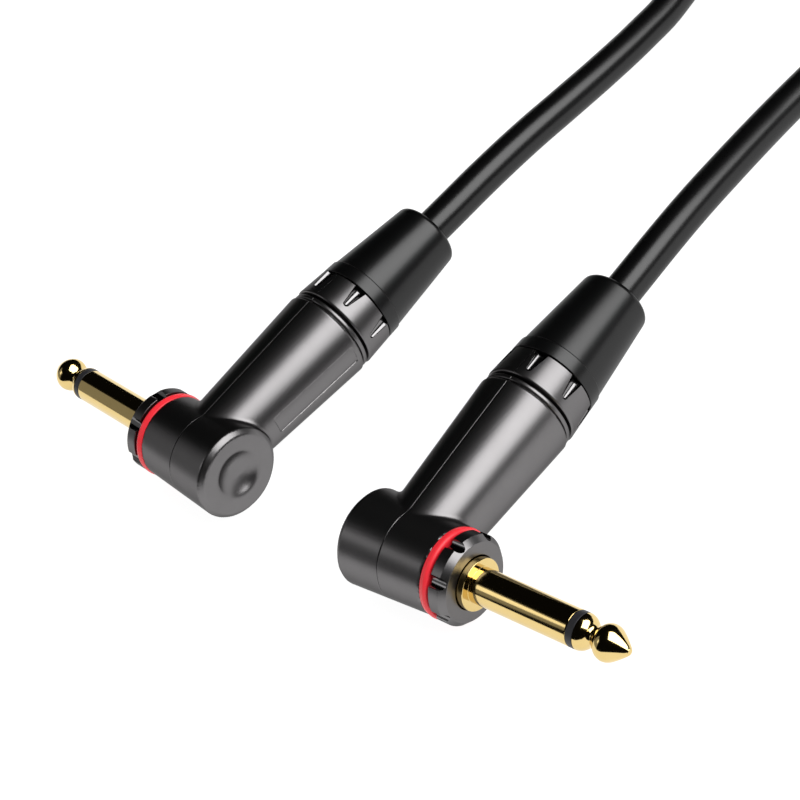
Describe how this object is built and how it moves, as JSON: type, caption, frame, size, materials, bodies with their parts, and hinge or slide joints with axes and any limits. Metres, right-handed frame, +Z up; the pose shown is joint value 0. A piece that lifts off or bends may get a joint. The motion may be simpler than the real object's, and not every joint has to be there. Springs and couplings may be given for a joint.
{
  "type": "instrument cable",
  "caption": "Coiled shielded instrument cable with a right-angle 6.35 mm mono plug on each end, with screw collar, tapered rubber boot, slotted nut and colour ring.",
  "frame": {"origin": "centre of the base of the two plugs' bounding box, on the surface they rest on; the cable's coil lies behind them", "axes": "+Z up; +Y along the first plug's cable axis, towards the coil; +X along the first plug's contact finger"},
  "size_m": [0.1437, 0.2922, 0.0182],
  "materials": {
    "gold": "polished",
    "black_nickel": "satin",
    "nickel": "satin",
    "copper": "satin",
    "red_ring": "satin",
    "insulator": "matte",
    "nylon": "satin",
    "boot_rubber": "satin",
    "jacket": "satin",
    "strap": "matte"
  },
  "bodies": {
    "root": {"tip_contact_a": "gold", "tip_insulator_a": "insulator", "sleeve_a": "gold", "core_tube_a": "nylon", "rear_washer_a": "nylon", "tip_lug_a": "nickel", "ground_lug_a": "nickel", "threaded_bush_a": "black_nickel", "front_shell_a": "black_nickel", "rear_shell_a": "black_nickel", "cable_chuck_a": "insulator", "jacket_end_a": "jacket", "braid_shield_a": "copper", "noise_layer_a": "insulator", "core_insulation_a": "nylon", "core_wire_a": "copper", "tip_contact_b": "gold", "tip_insulator_b": "insulator", "sleeve_b": "gold", "core_tube_b": "nylon", "rear_washer_b": "nylon", "tip_lug_b": "nickel", "ground_lug_b": "nickel", "threaded_bush_b": "black_nickel", "front_shell_b": "black_nickel", "rear_shell_b": "black_nickel", "cable_chuck_b": "insulator", "jacket_end_b": "jacket", "braid_shield_b": "copper", "noise_layer_b": "insulator", "core_insulation_b": "nylon", "core_wire_b": "copper", "cable_lead_a": "jacket", "cable_coil": "jacket", "cable_lead_b": "jacket", "cable_tie": "strap"},
    "boot_a": {"boot_a": "boot_rubber"},
    "collar_a": {"collar_a": "black_nickel"},
    "colour_ring_a": {"colour_ring_a": "red_ring"},
    "front_nut_a": {"front_nut_a": "black_nickel"},
    "boot_b": {"boot_b": "boot_rubber"},
    "collar_b": {"collar_b": "black_nickel"},
    "colour_ring_b": {"colour_ring_b": "red_ring"},
    "front_nut_b": {"front_nut_b": "black_nickel"}
  },
  "joints": [
    {"name": "boot_slide_a", "type": "slide", "parent": "root", "child": "boot_a", "axis": [0, 1, 0], "range_m": [0, 0.00375]},
    {"name": "collar_turn_a", "type": "hinge", "parent": "boot_a", "child": "collar_a", "pos_m": [0.0257, -0.0302, 0.00913], "axis": [0, 1, 0], "range_deg": [0, 1350]},
    {"name": "colour_ring_slide_a", "type": "slide", "parent": "root", "child": "colour_ring_a", "axis": [1, 0, 0], "range_m": [0, 0.0016]},
    {"name": "front_nut_turn_a", "type": "hinge", "parent": "colour_ring_a", "child": "front_nut_a", "pos_m": [0.0257, -0.0302, 0.00913], "axis": [1, 0, 0], "range_deg": [0, 720]},
    {"name": "boot_slide_b", "type": "slide", "parent": "root", "child": "boot_b", "axis": [0.0922, 0.9957, 0], "range_m": [0, 0.00375]},
    {"name": "collar_turn_b", "type": "hinge", "parent": "boot_b", "child": "collar_b", "pos_m": [-0.0258, -0.029, 0.00913], "axis": [0.0922, 0.9957, 0], "range_deg": [0, 1350]},
    {"name": "colour_ring_slide_b", "type": "slide", "parent": "root", "child": "colour_ring_b", "axis": [-0.9957, 0.0922, 0], "range_m": [0, 0.0016]},
    {"name": "front_nut_turn_b", "type": "hinge", "parent": "colour_ring_b", "child": "front_nut_b", "pos_m": [-0.0258, -0.029, 0.00913], "axis": [-0.9957, 0.0922, 0], "range_deg": [0, 720]}
  ],
  "couplings": [
    {"joint": "collar_turn_a", "follows": "boot_slide_a", "rad_per_m": 6283.2},
    {"joint": "front_nut_turn_a", "follows": "colour_ring_slide_a", "rad_per_m": 7854},
    {"joint": "collar_turn_b", "follows": "boot_slide_b", "rad_per_m": 6283.2},
    {"joint": "front_nut_turn_b", "follows": "colour_ring_slide_b", "rad_per_m": 7854}
  ]
}
